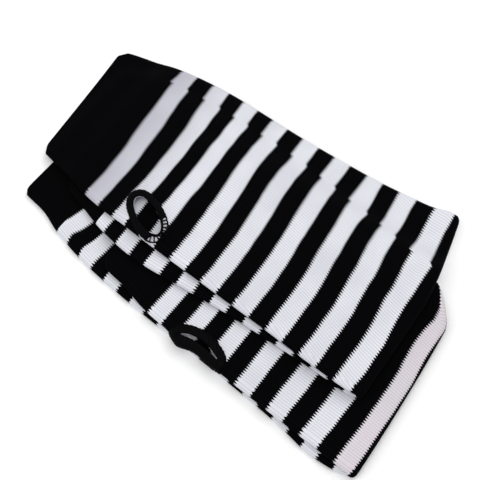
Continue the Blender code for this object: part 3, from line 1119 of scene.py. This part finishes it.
    def build(self) -> list[bpy.types.Object]:
        """Make and dress all pieces of the warmer.

        Returns:
            The pieces.
        """
        rings, hand_end, arm_start = self.rings()
        striped = self.knit.make("striped cotton jersey, " + self.name, True, self.start)
        plain = self.knit.make("black cotton jersey, " + self.name, False, self.start)
        thread = OverlockThread().make("overlock thread, " + self.name)
        hand_cuff = self.knit_piece(self.name + "_hand_cuff_knit", rings.part(0, hand_end), None)
        sleeve_rings = rings.part(hand_end, arm_start)
        inside = self.open_hole(sleeve_rings)
        sleeve = self.knit_piece(self.name + "_sleeve_knit", sleeve_rings, inside)
        last = len(rings.points) - 1
        arm_cuff = self.knit_piece(self.name + "_arm_cuff_knit", rings.part(arm_start, last), None)
        edge = self.overlock()
        for piece, material in ((hand_cuff, plain), (sleeve, striped), (arm_cuff, plain), (edge, thread)):
            piece.data.materials.clear()
            piece.data.materials.append(material)
            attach(piece, "root")
        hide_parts(self.name + "_hand_cuff")
        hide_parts(self.name + "_hand_sleeve", self.name + "_arm_sleeve")
        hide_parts(self.name + "_arm_cuff")
        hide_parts(self.name + "_thumb_edge")
        return [hand_cuff, sleeve, arm_cuff, edge]


@dataclass
class Overlock:
    """Overlock stitching round a thumb hole: a dense roll of thread over the cut knit, loose for a stretch.

    Along the hole's loose stretch the roll is narrow, and the knit shows between loops beside it.
    """

    pile: Pile
    layer: Layer
    hole: ThumbHole
    rows: int = 256
    columns: int = 14
    roll_height: float = 1.0
    ridge: float = 0.1
    ridge_pitch: float = 1.1
    loop_pitch: float = 1.7
    loop_points: int = 12
    thread: float = 0.3

    def surface_points(self, angle: np.ndarray, out: np.ndarray, height: np.ndarray) -> np.ndarray:
        """Points near the hole's edge, in metres.

        Args:
            angle: Angles round the hole, in radians.
            out: How far across the stitched edge each point lies, from 0 at the opening to 1.
            height: How far each point stands above the knit.

        Returns:
            One row for each point.
        """
        x, arc = self.hole.place(angle, out)
        arc = np.maximum(arc, -2.5)
        point = self.pile.outer_point(self.layer, self.hole, x, arc)
        return in_part(point + self.pile.outward(self.layer, self.hole, x, arc) * height[..., None])

    def even_angles(self, first: float, last: float, steps: int) -> tuple[np.ndarray, float]:
        """Angles that are evenly far apart round the stitching.

        Args:
            first: The first angle, in radians.
            last: The last angle.
            steps: How many steps there are between them.

        Returns:
            The angles, and the length of the way round in millimetres.
        """
        fine = np.linspace(first, last, 721)
        x, arc = self.hole.place(fine, np.full(fine.shape, 0.6))
        way = np.concatenate([[0.0], np.cumsum(np.hypot(np.diff(x), np.diff(arc)))])
        return np.interp(np.linspace(0.0, way[-1], steps + 1), way, fine), float(way[-1])

    def roll(self, name: str) -> bpy.types.Object:
        """The roll of dense stitches, ridged by its threads.

        Args:
            name: The object's name.

        Returns:
            The roll.
        """
        angle, way = self.even_angles(0.0, 2.0 * math.pi, self.rows)
        angle = angle[:-1, None]
        ridges = round(way / self.ridge_pitch)
        wave = np.cos(2.0 * math.pi * ridges * np.arange(self.rows) / self.rows)[:, None]
        turn = np.arange(self.columns)[None, :] * 2.0 * math.pi / self.columns
        into = (np.degrees(angle) - self.hole.loose_from) % 360.0
        loose = smooth(into / 14.0) * smooth((self.hole.loose_to - self.hole.loose_from - into) / 14.0)
        width = 1.12 * (1.0 + (self.hole.loose_width - 1.0) * loose)
        out = -0.12 + width * (1.0 + np.cos(turn)) / 2.0
        top = np.clip(np.sin(turn), 0.0, None) ** 0.8 * (self.roll_height + self.ridge * wave)
        under = np.clip(np.sin(turn), None, 0.0) * (0.35 + 0.9 * smooth(1.0 - (out + 0.12) / 0.5))
        points = self.surface_points(np.broadcast_to(angle, out.shape), out, top + under)
        bpy.ops.object.select_all(action="DESELECT")
        bpy.ops.mesh.primitive_torus_add(major_segments=self.rows, minor_segments=self.columns)
        made = bpy.context.object
        made.name = name
        made.data.vertices.foreach_set("co", points.ravel())
        made.data.update()
        return made

    def loops(self, name: str) -> bpy.types.Object:
        """The loose loops, which cross the knit and pass back under it."""
        first, last = math.radians(self.hole.loose_from), math.radians(self.hole.loose_to)
        total = round(self.even_angles(first, last, 1)[1] / self.loop_pitch)
        angle = self.even_angles(first, last, total * self.loop_points)[0]
        phase = np.arange(angle.size) * 2.0 * math.pi / self.loop_points
        uneven = 0.05 * np.sin(np.arange(angle.size) * 0.37)
        points = self.surface_points(angle, 0.53 - 0.47 * np.cos(phase) + uneven, 0.15 + 0.6 * np.sin(phase))
        return self.tube(name, points, self.thread, False)

    def tube(self, name: str, points: np.ndarray, radius: float, closed: bool) -> bpy.types.Object:
        """A thread along points.

        Args:
            name: The object's name.
            points: Points in metres.
            radius: The thread's radius in millimetres.
            closed: Whether its end meets its start.

        Returns:
            The thread as a mesh.
        """
        curve = bpy.data.curves.new(name, "CURVE")
        curve.dimensions = "3D"
        curve.bevel_depth = radius * MM
        curve.bevel_resolution = 1
        curve.use_fill_caps = not closed
        line = curve.splines.new("POLY")
        line.points.add(len(points) - 1)
        line.points.foreach_set("co", np.concatenate([points, np.ones((len(points), 1))], axis=1).ravel())
        line.use_cyclic_u = closed
        made = bpy.data.objects.new(name, curve)
        bpy.context.scene.collection.objects.link(made)
        pick_only(made)
        bpy.ops.object.convert(target="MESH")
        return bpy.context.object

    def build(self, name: str) -> bpy.types.Object:
        """Make the stitching.

        Args:
            name: The piece's name.

        Returns:
            The piece.
        """
        around = self.even_angles(0.0, 2.0 * math.pi, 120)[0][:-1]
        sway = 0.94 + 0.03 * np.cos(np.arange(around.size) * math.pi / 2.0)
        running = self.surface_points(around, sway, np.full(around.size, 0.3))
        parts = [self.roll(name), self.loops(name + "_loops"), self.tube(name + "_run", running, self.thread * 1.1, True)]
        bpy.ops.object.select_all(action="DESELECT")
        for part in parts:
            part.select_set(True)
        bpy.context.view_layer.objects.active = parts[0]
        bpy.ops.object.join()
        piece = bpy.context.object
        bpy.ops.object.shade_smooth()
        return piece


@dataclass
class Studio:
    """A pale floor, soft lights and the camera."""

    aim: tuple[float, float, float] = (0.00404, -0.00545, 0.006)
    distance: float = 0.45
    azimuth: float = 37.0
    elevation: float = 65.0
    lens: float = 75.0
    floor_tone: str = "#FFFFFF"

    def floor(self) -> None:
        """A plain floor just under the pair."""
        bpy.ops.object.select_all(action="DESELECT")
        bpy.ops.mesh.primitive_plane_add(size=6.0, location=(0.0, 0.0, -0.0002))
        floor = bpy.context.object
        floor.name = "floor"
        graph = Graph("matt white paper floor")
        graph.shader.inputs["Base Color"].default_value = linear(self.floor_tone)
        graph.shader.inputs["Roughness"].default_value = 0.9
        floor.data.materials.append(graph.material)

    def light(self, name: str, place: tuple[float, float, float], size: float, power: float) -> None:
        """A soft square light that faces the pair.

        Args:
            name: The light's name.
            place: Where it stands, in metres.
            size: The length of its sides, in metres.
            power: Its power in watts.
        """
        data = bpy.data.lights.new(name, "AREA")
        data.size = size
        data.energy = power
        lamp = bpy.data.objects.new(name, data)
        lamp.location = place
        lamp.rotation_euler = (Vector(self.aim) - Vector(place)).to_track_quat("-Z", "Y").to_euler()
        bpy.context.scene.collection.objects.link(lamp)

    def camera(self) -> None:
        """The camera, at the photograph's angle."""
        turn, tilt = math.radians(self.azimuth), math.radians(self.elevation)
        back = Vector((math.sin(turn) * math.cos(tilt), -math.cos(turn) * math.cos(tilt), math.sin(tilt)))
        data = bpy.data.cameras.new("camera")
        data.lens = self.lens
        data.sensor_width = 36.0
        data.clip_start = 0.01
        camera = bpy.data.objects.new("camera", data)
        camera.location = Vector(self.aim) + back * self.distance
        camera.rotation_euler = (-back).to_track_quat("-Z", "Y").to_euler()
        bpy.context.scene.collection.objects.link(camera)
        bpy.context.scene.camera = camera

    def build(self) -> None:
        """Set the stage."""
        self.floor()
        self.light("key softbox", (0.15, 0.75, 0.95), 0.8, 5.2)
        self.light("top softbox", (-0.1, -0.1, 1.3), 1.2, 6.0)
        self.light("fill softbox", (-0.6, -0.8, 0.7), 1.0, 4.6)
        self.camera()
        scene = bpy.context.scene
        scene.view_settings.view_transform = "Standard"
        world = bpy.data.worlds.new("soft white room")
        world.use_nodes = True
        world.node_tree.nodes["Background"].inputs["Color"].default_value = (1.0, 1.0, 1.0, 1.0)
        world.node_tree.nodes["Background"].inputs["Strength"].default_value = 0.47
        scene.world = world


def main() -> None:
    """Build the pair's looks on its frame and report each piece."""
    logging.basicConfig(level=logging.INFO, format="%(name)s: %(message)s")
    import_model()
    pile = Pile((LOWER_ARM, LOWER_HAND, UPPER_ARM, UPPER_HAND), CREASES)
    lower = ArmWarmer(
        name="lower",
        pile=pile,
        hand=LOWER_HAND,
        arm=LOWER_ARM,
        hole=LOWER_HOLE,
        start=RoundStart(120.0, 1.2, 0.0),
        # The lower warmer's white has painted shade, greyer and pinker, about its fold.
        knit=JerseyKnit(fold_white="#D8CFD5"),
        rests_on="floor",
    )
    upper = ArmWarmer(
        name="upper",
        pile=pile,
        hand=UPPER_HAND,
        arm=UPPER_ARM,
        hole=UPPER_HOLE,
        start=RoundStart(78.5, 1.3, 0.42),
        knit=JerseyKnit(cuff_white="#B3B1BB"),
        rests_on="lower_sleeve_knit",
    )
    Studio().build()
    for warmer in (lower, upper):
        for piece in warmer.build():
            LOG.info("%s: %d faces", piece.name, len(piece.data.polygons))


if __name__ == "__main__":
    main()
